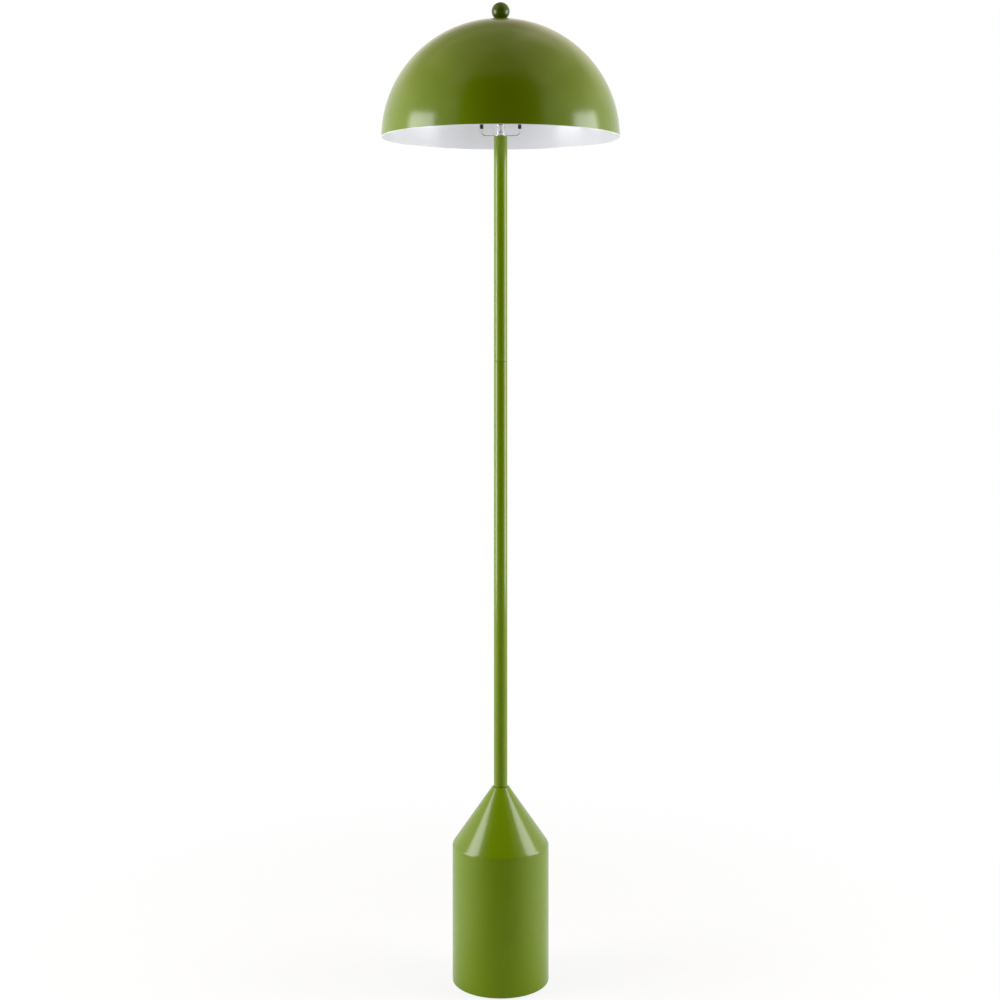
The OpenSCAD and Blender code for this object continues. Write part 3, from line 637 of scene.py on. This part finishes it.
# ---------------------------------------------------------------------------
# Inner lead. A soft white sheathed lead climbs through the rod and the pole,
# and its two bare conductors end under the terminals of the socket.
# ---------------------------------------------------------------------------
sheath = plastic("lead_sheath", (0.62, 0.62, 0.6), (0.68, 0.68, 0.66), 0.36)
brass = metal("plain_brass", (0.80, 0.60, 0.29), (0.62, 0.45, 0.2), 0.2)
dress(sheath, "inner_lead")
dress(brass, "lead_conductors")


# ---------------------------------------------------------------------------
# Pole. Two lengths of welded steel tube sprayed with the base. Their bevelled
# ends meet at the screw joint, where a fine line shows.
# ---------------------------------------------------------------------------
POLE_WALL = 1.2 * MM
POLE_BEVEL = 0.9 * MM


def pole_tube(name, node):
    pole_r, low, high = span(node)
    rim = pole_r - POLE_WALL
    return finish_piece(
        lathe([(rim, low), (pole_r, low, POLE_BEVEL), (pole_r, high, POLE_BEVEL), (rim, high)],
              steps=72), name, "stand", paint, [node])


pole_tube("lower_pole_tube", "pole_lower")
pole_tube("upper_pole_tube", "pole_upper")
dress(zinc, "pole_bottom_plug", "pole_joint_socket", "pole_joint_stud", "pole_top_plug")


# ---------------------------------------------------------------------------
# Nipple. A short brass tube with the same thread, screwed into the top of the
# pole. It clamps the saddle under the cap of the socket.
# ---------------------------------------------------------------------------
nipple_r, nipple_low, nipple_high = span("nipple")
nipple = finish_piece(
    threaded(nipple_r, THREAD_DEPTH, ROD_PITCH, nipple_low, nipple_high, steps=32),
    "threaded_nipple", "stand", brass, ["nipple"])
drill(nipple, ROD_BORE_R, (0, 0, nipple_high), (0, 0, 1), THROUGH)


# ---------------------------------------------------------------------------
# Harp saddle. A nickel plated steel strip with a round pad on the pole. Its
# ends are bent up and carry the pegs on which the harp stands.
# ---------------------------------------------------------------------------
SADDLE_T = 1.5 * MM
SADDLE_W = 8 * MM
SADDLE_BEND = 7 * MM
PEG_LENGTH = 6.3 * MM
PEG_SINK = 2 * MM
NIPPLE_FIT = 0.1 * MM
WIRE_R = 1.5 * MM

nickel = metal("nickel_plate", (0.80, 0.80, 0.81), (0.72, 0.72, 0.73), 0.1)
saddle_low, saddle_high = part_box("harp_saddle")
saddle_top = saddle_low.z + SADDLE_T
pad_r = (saddle_high.y - saddle_low.y) / 2
arm_top = saddle_high.z - PEG_LENGTH
sleeve_low, sleeve_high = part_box("harp_sleeve_right")
arm_x = (sleeve_low.x + sleeve_high.x) / 2
strip_x = arm_x + SADDLE_T / 2
inner_x = strip_x - SADDLE_T

strip = bmesh.new()
corners = [(-strip_x, arm_top, 0.3 * MM), (-strip_x, saddle_low.z, SADDLE_BEND),
           (strip_x, saddle_low.z, SADDLE_BEND), (strip_x, arm_top, 0.3 * MM),
           (inner_x, arm_top, 0.3 * MM), (inner_x, saddle_top, SADDLE_BEND - SADDLE_T),
           (-inner_x, saddle_top, SADDLE_BEND - SADDLE_T), (-inner_x, arm_top, 0.3 * MM)]
verts = [strip.verts.new((x, -SADDLE_W / 2, z)) for x, z, _ in corners]
strip.faces.new(verts)
rounded(strip, verts, [radius for _, _, radius in corners])
made = bmesh.ops.extrude_face_region(strip, geom=strip.faces[:])
bmesh.ops.translate(strip, vec=(0, SADDLE_W, 0), verts=verts_of(made))
bmesh.ops.recalc_face_normals(strip, faces=strip.faces)
rims = [e for e in strip.edges if abs(e.verts[0].co.y - e.verts[1].co.y) < 0.1 * MM]
bevel(strip, rims, 0.2 * MM, 2)
saddle = finish_piece(strip, "bent_saddle", "stand", nickel, ["harp_saddle"])
combine(saddle, lathe([(0, saddle_low.z), (pad_r, saddle_low.z, 0.2 * MM),
                       (pad_r, saddle_top, 0.2 * MM), (0, saddle_top)], closed=False), "UNION")
for way in (-1, 1):
    peg = lathe([(0, arm_top - PEG_SINK), (WIRE_R, arm_top - PEG_SINK),
                 (WIRE_R, saddle_high.z, 0.5 * MM), (0, saddle_high.z)], steps=32, closed=False)
    bmesh.ops.translate(peg, vec=(way * arm_x, 0, 0), verts=peg.verts)
    combine(saddle, peg, "UNION")
drill(saddle, nipple_r + NIPPLE_FIT, (0, 0, saddle_top), (0, 0, 1), depth=10 * MM)


# ---------------------------------------------------------------------------
# Harp sleeves. Two short black tubes that slide down over the joint of peg
# and wire, and lock the harp. They are lifted to take the harp off.
# ---------------------------------------------------------------------------
sleeve_black = plastic("black_sleeve", (0.008, 0.008, 0.009), (0.014, 0.014, 0.015), 0.35)
sleeve_r = (sleeve_high.x - sleeve_low.x) / 2
sleeve_bore_r = WIRE_R + 0.1 * MM
for side, way in (("left", -1), ("right", 1)):
    tube = lathe([(sleeve_bore_r, sleeve_low.z, 0.2 * MM), (sleeve_r, sleeve_low.z, 0.5 * MM),
                  (sleeve_r, sleeve_high.z, 0.5 * MM), (sleeve_bore_r, sleeve_high.z, 0.2 * MM)],
                 steps=48)
    bmesh.ops.translate(tube, vec=(way * arm_x, 0, 0), verts=tube.verts)
    finish_piece(tube, side + "_lock_sleeve", "sleeve_" + side, sleeve_black,
                 ["harp_sleeve_" + side])


# ---------------------------------------------------------------------------
# Harp. One length of nickel plated spring wire, bent on each side out of its
# leg, up round the bulb and in to the seat.
# ---------------------------------------------------------------------------
HARP_LEG = 15.7 * MM
LOW_BEND = 20 * MM
MID_BEND = 30 * MM
TOP_BEND = 45 * MM
SPLAY = math.radians(40)
JOIN = 0.01 * MM

harp_low, harp_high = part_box("harp_wire")
reach = harp_high.x - WIRE_R
wire_top = harp_high.z - WIRE_R
leg_top = harp_low.z + HARP_LEG
splay_run = reach - arm_x - (LOW_BEND + MID_BEND) * (1 - math.cos(SPLAY))
splay_rise = splay_run / math.tan(SPLAY)
side_foot = leg_top + (LOW_BEND + MID_BEND) * math.sin(SPLAY) + splay_rise


def draw(wire, ring, vector):
    """Draws the end of the wire out straight."""
    edges = [e for e in ring if isinstance(e, bmesh.types.BMEdge)]
    made = bmesh.ops.extrude_edge_only(wire, edges=edges)
    end = [g for g in made["geom"] if not isinstance(g, bmesh.types.BMFace)]
    bmesh.ops.translate(wire, vec=vector, verts=verts_of(made))
    return [g for g in end if isinstance(g, bmesh.types.BMVert) or all(v in end for v in g.verts)]


def bend(wire, ring, x, z, angle, steps):
    """Bends the end of the wire round a line along Y."""
    return bmesh.ops.spin(wire, geom=ring, cent=(x, 0, z), axis=(0, 1, 0), angle=angle,
                          steps=steps)["geom_last"]


wire = bmesh.new()
ring = bmesh.ops.create_circle(wire, cap_ends=False, segments=20, radius=WIRE_R)["verts"]
bmesh.ops.translate(wire, vec=(arm_x, 0, harp_low.z), verts=ring)
ring = draw(wire, ring + wire.edges[:], (0, 0, HARP_LEG))
ring = bend(wire, ring, arm_x + LOW_BEND, leg_top, SPLAY, 8)
ring = draw(wire, ring, (splay_run, 0, splay_rise))
ring = bend(wire, ring, reach - MID_BEND, side_foot, -SPLAY, 10)
ring = draw(wire, ring, (0, 0, wire_top - TOP_BEND - side_foot))
ring = bend(wire, ring, reach - TOP_BEND, wire_top - TOP_BEND, -math.pi / 2, 20)
ring = draw(wire, ring, (TOP_BEND - reach, 0, 0))
bmesh.ops.mirror(wire, geom=wire.verts[:] + wire.edges[:] + wire.faces[:], axis="X",
                 merge_dist=JOIN)
bmesh.ops.remove_doubles(wire, verts=wire.verts, dist=JOIN)
bmesh.ops.holes_fill(wire, edges=[e for e in wire.edges if e.is_boundary], sides=0)
bmesh.ops.recalc_face_normals(wire, faces=wire.faces)
finish_piece(wire, "bent_harp_wire", "harp", nickel, ["harp_wire"])


# ---------------------------------------------------------------------------
# Harp seat. A turned and plated hub pressed over the top of the wire, with
# the disc on which the shade sits and a threaded stud for the finial.
# ---------------------------------------------------------------------------
HUB_R = 6 * MM
SEAT_T = 2.5 * MM
STUD_R = 3.1 * MM
STUD_THREAD_DEPTH = 0.45 * MM
STUD_PITCH = 0.94 * MM

seat_r, hub_low, stud_high = span("harp_seat")
seat_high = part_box("shade_washer")[0].z
seat = finish_piece(
    lathe([(0, hub_low), (HUB_R, hub_low, 0.8 * MM), (HUB_R, seat_high - SEAT_T, 0.3 * MM),
           (seat_r, seat_high - SEAT_T, 0.6 * MM), (seat_r, seat_high, 0.5 * MM), (0, seat_high)],
          closed=False),
    "harp_seat_hub", "harp", nickel, ["harp_seat"])
stud = threaded(STUD_R, STUD_THREAD_DEPTH, STUD_PITCH, seat_high - MM, stud_high, steps=32)
combine(seat, stud, "UNION")
drill(seat, WIRE_R + THREAD_FIT, (0, 0, wire_top), (1, 0, 0), depth=40 * MM)


# ---------------------------------------------------------------------------
# Shade washer. A soft black rubber ring that lies loose between the seat and
# the painted shade, so that the crown isn't scratched when the finial is tight.
# ---------------------------------------------------------------------------
rubber = plastic("soft_black_rubber", (0.012, 0.012, 0.012), (0.02, 0.02, 0.02), 0.7, 0.4)
washer_r, washer_low, washer_high = span("shade_washer")
washer_hole_r = STUD_R + 0.1 * MM
finish_piece(
    lathe([(washer_hole_r, washer_low), (washer_r, washer_low, 0.3 * MM),
           (washer_r, washer_high, 0.3 * MM), (washer_hole_r, washer_high)]),
    "soft_washer", "harp", rubber, ["shade_washer"])


# ---------------------------------------------------------------------------
# Shade. A dome spun from thin sheet, sprayed gloss green outside and white
# inside. A small flat on the crown takes the finial.
# ---------------------------------------------------------------------------
SHADE_T = 0.8 * MM
CROWN_FLAT_R = 12.4 * MM
CROWN_HOLE_R = 4.25 * MM
# The white paint comes round the rim and this far up the outside.
RIM_PAINT = 0.7 * MM


def shade_paint(name, colour, second, roughness, ring_strength):
    """Gloss paint over the faint rings that the spinning tool leaves."""
    material, nodes, place = new_finish(name)
    height = nodes.node("ShaderNodeVectorMath", {"operation": "MULTIPLY"},
                        {0: place, 1: (0.0, 0.0, 1.0)})
    rings = noise(nodes, height, 220, 2)
    peel = paint_bump(nodes, place)
    clouds = noise(nodes, place, 9, 3)
    surface(nodes, bump=rings * ring_strength + peel * 0.5, bump_height=0.06, bump_strength=0.3,
            Base_Color=nodes.mix(clouds.ramp(0.3, 0.7), colour, second),
            Roughness=clouds * 0.04 + roughness, IOR=1.5)
    return material


def arc(centre, radius, start, stop, steps):
    """Points of an arc in the outline's plane, with angles in degrees."""
    angles = [math.radians(start + (stop - start) * i / steps) for i in range(steps + 1)]
    return [(centre[0] + radius * math.cos(a), centre[1] + radius * math.sin(a)) for a in angles]


shade_green = shade_paint("shade_green_paint", (0.148, 0.224, 0.0003), (0.157, 0.237, 0.0006),
                          0.17, 1.0)
shade_white = shade_paint("shade_white_paint", (0.872, 0.892, 0.945), (0.885, 0.905, 0.95),
                          0.2, 0.6)
shade_r, rim_z, crown_flat = span("shade")
# The sphere through the rim and the edge of the crown flat gives the dome.
dome_h = crown_flat - rim_z
dome_z = (shade_r ** 2 - CROWN_FLAT_R ** 2 - dome_h ** 2) / (2 * dome_h)
dome_r = math.hypot(shade_r, dome_z)
inner_r = dome_r - SHADE_T
centre_z = rim_z - dome_z
rim_low = math.degrees(math.asin(dome_z / dome_r))
rim_in = math.degrees(math.asin(dome_z / inner_r))
crown_out = math.degrees(math.acos(CROWN_FLAT_R / dome_r))
crown_in_r = math.sqrt(inner_r ** 2 - (crown_flat - SHADE_T - centre_z) ** 2)
crown_in = math.degrees(math.acos(crown_in_r / inner_r))
rim_paint = math.degrees(math.asin((dome_z + RIM_PAINT) / dome_r))
outside = (arc((0, centre_z), dome_r, rim_low, rim_paint, 1)
           + arc((0, centre_z), dome_r, rim_paint, crown_out, 72)[1:])
inside = arc((0, centre_z), inner_r, crown_in, rim_in, 72)
outline = ([outside[0] + (0.25 * MM,)] + outside[1:-1] + [outside[-1] + (1.2 * MM,)]
           + [(CROWN_HOLE_R, crown_flat), (CROWN_HOLE_R, crown_flat - SHADE_T)]
           + [inside[0] + (1.0 * MM,)] + inside[1:-1] + [inside[-1] + (0.25 * MM,)])
dome = lathe(outline, steps=256)
for face in dome.faces:
    middle = face.calc_center_median()
    facing_in = face.normal.dot(middle - Vector((0, 0, centre_z))) < 0
    if facing_in or middle.z < rim_z + RIM_PAINT:
        face.material_index = 1
shade = finish_piece(dome, "spun_dome_shade", "shade", shade_green, ["shade"],
                     sharp=50)
shade.data.materials.append(shade_white)


# ---------------------------------------------------------------------------
# Finial. A turned ball on a short foot, its green painted darker than the shade's
# as painted shade. A brass insert in it screws onto the stud and holds the shade down.
# ---------------------------------------------------------------------------
FOOT_R = 8.5 * MM
BORE_TOP = 12.6 * MM

ball_r, ball_foot, ball_top = span("finial_ball")
ball_z = ball_top - ball_r
insert_r, _, insert_high = span("finial_insert")
stud_hole_r = STUD_R + 0.3 * MM
insert_hole_r = insert_r + 0.05 * MM
waist = -math.degrees(math.acos(FOOT_R / ball_r))
ball = arc((0, ball_z), ball_r, waist, 90, 40)
# The ball's green is about half as light as the shade's: painted shade for the small glossy ball.
finial_shaded_green = shade_paint("finial_green_paint", (0.068, 0.104, 0.0005), (0.074, 0.112, 0.0008),
                           0.17, 0.3)
finish_piece(
    lathe([(0, ball_foot + BORE_TOP), (stud_hole_r, ball_foot + BORE_TOP),
           (stud_hole_r, insert_high), (insert_hole_r, insert_high),
           (insert_hole_r, ball_foot), (FOOT_R, ball_foot, 0.3 * MM)]
          + ball[:-1] + [(0, ball_top)], steps=96, closed=False),
    "turned_finial", "finial", finial_shaded_green, ["finial_ball"])
dress(brass, "finial_insert")


# ---------------------------------------------------------------------------
# Socket cap. A nickel plated pressing that screws onto the nipple. Its bowl
# carries the socket, and a set screw stops it turning.
# ---------------------------------------------------------------------------
CAP_HUB_R = 7.6 * MM
CAP_HUB_H = 14.7 * MM
CAP_WALL = 0.8 * MM
SCREW_R = 1.4 * MM
SLOT_DEPTH = 0.8 * MM
SLOT_WIDTH = 0.5 * MM

cap_r, cap_low, cap_high = span("socket_cap")
bowl_z = cap_low + CAP_HUB_H
bowl_r = cap_r - CAP_HUB_R
hub_in = nipple_r + THREAD_FIT
cap = finish_piece(
    lathe([(hub_in, bowl_z + CAP_WALL), (hub_in, cap_low), (CAP_HUB_R, cap_low, 0.5 * MM)]
          + arc((CAP_HUB_R, bowl_z + bowl_r), bowl_r, -90, 0, 16)
          + [(cap_r, cap_high, 0.3 * MM), (cap_r - CAP_WALL, cap_high, 0.2 * MM)]
          + arc((CAP_HUB_R, bowl_z + bowl_r), bowl_r - CAP_WALL, 0, -90, 16)),
    "pressed_socket_cap", "stand", nickel, ["socket_cap"])

screw_low, screw_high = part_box("socket_set_screw")
screw_z = (screw_low.z + screw_high.z) / 2
head_r = (screw_high.x - screw_low.x) / 2
drill(cap, SCREW_R + THREAD_FIT, (0, -10 * MM, screw_z), (0, 1, 0), depth=18 * MM)
screw = lathe([(0, -screw_high.y), (SCREW_R, -screw_high.y, 0.2 * MM),
               (SCREW_R, CAP_HUB_R), (head_r, CAP_HUB_R, 0.2 * MM),
               (head_r, -screw_low.y, 0.5 * MM), (0, -screw_low.y)],
              steps=32, closed=False)
set_screw = finish_piece(
    lay_down(screw, screw_z, to_back=False),
    "slotted_set_screw", "stand", zinc, ["socket_set_screw"])
slot = bmesh.new()
bmesh.ops.create_cube(slot, size=1)
bmesh.ops.scale(slot, vec=(6 * MM, 2 * SLOT_DEPTH, SLOT_WIDTH), verts=slot.verts)
bmesh.ops.translate(slot, vec=(0, screw_low.y, screw_z), verts=slot.verts)
combine(set_screw, slot, "DIFFERENCE")


# ---------------------------------------------------------------------------
# Socket shell. A thin nickel plated tube with a rolled bead and a window for
# the switch. A tube of brown card insulates it from the parts inside.
# ---------------------------------------------------------------------------
SHELL_WALL = 0.6 * MM
BEAD = 0.5 * MM
BEAD_DROP = 6 * MM
WINDOW_R = 3.6 * MM


def card_finish():
    material, nodes, place = new_finish("insulating_card")
    fibres = noise(nodes, place, 900, 4, 0.7)
    surface(nodes, bump=fibres, bump_height=0.1, bump_strength=0.5, Roughness=0.85,
            Base_Color=nodes.mix(fibres, (0.26, 0.16, 0.08), (0.42, 0.29, 0.17)))
    return material


bead_r, shell_low, shell_high = span("socket_shell")
tube_r = bead_r - BEAD
bead_z = shell_high - BEAD_DROP
spindle_low, spindle_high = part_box("switch_spindle")
switch_z = (spindle_low.z + spindle_high.z) / 2
socket_tube = finish_piece(
    lathe([(tube_r - SHELL_WALL, shell_low), (tube_r, shell_low, 0.2 * MM),
           (tube_r, bead_z - 2 * BEAD, 0.3 * MM), (bead_r, bead_z, 0.7 * MM),
           (tube_r, bead_z + 2 * BEAD, 0.3 * MM), (tube_r, shell_high, 0.25 * MM),
           (tube_r - SHELL_WALL, shell_high, 0.25 * MM)], steps=128),
    "beaded_socket_shell", "stand", nickel, ["socket_shell"])
drill(socket_tube, WINDOW_R, (0, -tube_r, switch_z), (0, 1, 0), depth=20 * MM)
dress(card_finish(), "socket_liner")


# ---------------------------------------------------------------------------
# Socket core. Moulded dark phenolic, which holds the switch, the terminals,
# the centre contact and the brass shell into which the bulb screws.
# ---------------------------------------------------------------------------
phenolic = plastic("dark_phenolic", (0.03, 0.019, 0.012), (0.04, 0.026, 0.017), 0.28)
dress(phenolic, "socket_core")
dress(brass, "socket_screw_shell", "socket_contact", "socket_terminals")


# ---------------------------------------------------------------------------
# Switch. A brass spindle from the core and a moulded black knob with twelve
# grooves, turned by hand under the shade.
# ---------------------------------------------------------------------------
GROOVES = 12
GROOVE_DEPTH = 0.5 * MM
CROWN_ROUNDING = 1.2 * MM
FLUTED_ZONE = 1.5 * MM
KNOB_END = 2 * MM

knob_low, knob_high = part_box("switch_knob")
knob_r = (knob_high.x - knob_low.x) / 2
knob_foot, knob_end = -knob_high.y, -knob_low.y
spindle_r = (spindle_high.x - spindle_low.x) / 2
bore_end = knob_end - KNOB_END
knob = lathe([(spindle_r, knob_foot), (knob_r, knob_foot, 0.6 * MM),
              (knob_r, knob_end, CROWN_ROUNDING), (0, knob_end), (0, bore_end),
              (spindle_r, bore_end)], steps=144)
for vert in knob.verts:
    radius = math.hypot(vert.co.x, vert.co.y)
    if radius > knob_r - FLUTED_ZONE:
        wave = 0.5 + 0.5 * math.cos(GROOVES * math.atan2(vert.co.y, vert.co.x))
        shrink = 1 - GROOVE_DEPTH * wave ** 4 / knob_r
        vert.co.x *= shrink
        vert.co.y *= shrink
knob_black = plastic("knob_plastic", (0.010, 0.010, 0.010), (0.015, 0.015, 0.015), 0.22)
finish_piece(
    lay_down(knob, switch_z, to_back=False),
    "fluted_switch_knob", "switch", knob_black, ["switch_knob"])
dress(brass, "switch_spindle")


# ---------------------------------------------------------------------------
# Bulb. An opal globe on a white moulded housing that cools the light board,
# with a rolled aluminium screw cap, its black insulator and the tip contact.
# ---------------------------------------------------------------------------
CAP_PITCH = 3.6 * MM
CAP_THREAD_DEPTH = 0.8 * MM
BULB_WALL = 1.2 * MM
NECK_R = 13.5 * MM
NECK_RISE = 4 * MM

aluminium = metal("plain_aluminium", (0.77, 0.78, 0.79), (0.66, 0.67, 0.68), 0.24)
dress(aluminium, "bulb_contact", "bulb_led_board")
dress(black_nylon, "bulb_insulator")
screw_cap_r, screw_cap_low, screw_cap_high = span("bulb_screw_cap")
finish_piece(
    threaded(screw_cap_r, CAP_THREAD_DEPTH, CAP_PITCH, screw_cap_low, screw_cap_high, steps=64),
    "rolled_screw_cap", "bulb", aluminium, ["bulb_screw_cap"], sharp=60)
split_r, neck_low, split_z = span("bulb_housing")
neck_top = neck_low + NECK_RISE
finish_piece(
    lathe([(NECK_R - BULB_WALL, neck_low), (NECK_R, neck_low, 0.5 * MM),
           (NECK_R + MM, neck_top, 2 * MM), (split_r, split_z, 0.3 * MM),
           (split_r - BULB_WALL, split_z), (NECK_R + MM - BULB_WALL, neck_top)], steps=128),
    "bulb_base_housing", "bulb", white_nylon, ["bulb_housing"])
globe_r, globe_low, globe_top = span("bulb_diffuser")
globe_z = globe_top - globe_r
globe_in = globe_r - BULB_WALL
low_out = math.degrees(math.asin((globe_low - globe_z) / globe_r))
low_in = math.degrees(math.asin((globe_low - globe_z) / globe_in))
opal = plastic("opal_plastic", (0.84, 0.84, 0.82), (0.87, 0.87, 0.85), 0.3,
               Subsurface_Weight=0.25, Subsurface_Scale=0.004,
               Subsurface_Radius=(1.0, 1.0, 1.0))
finish_piece(
    lathe(arc((0, globe_z), globe_r, low_out, 90, 48)[:-1]
          + [(0, globe_top), (0, globe_top - BULB_WALL)]
          + arc((0, globe_z), globe_in, 90, low_in, 48)[1:], steps=128),
    "opal_globe", "bulb", opal, ["bulb_diffuser"])
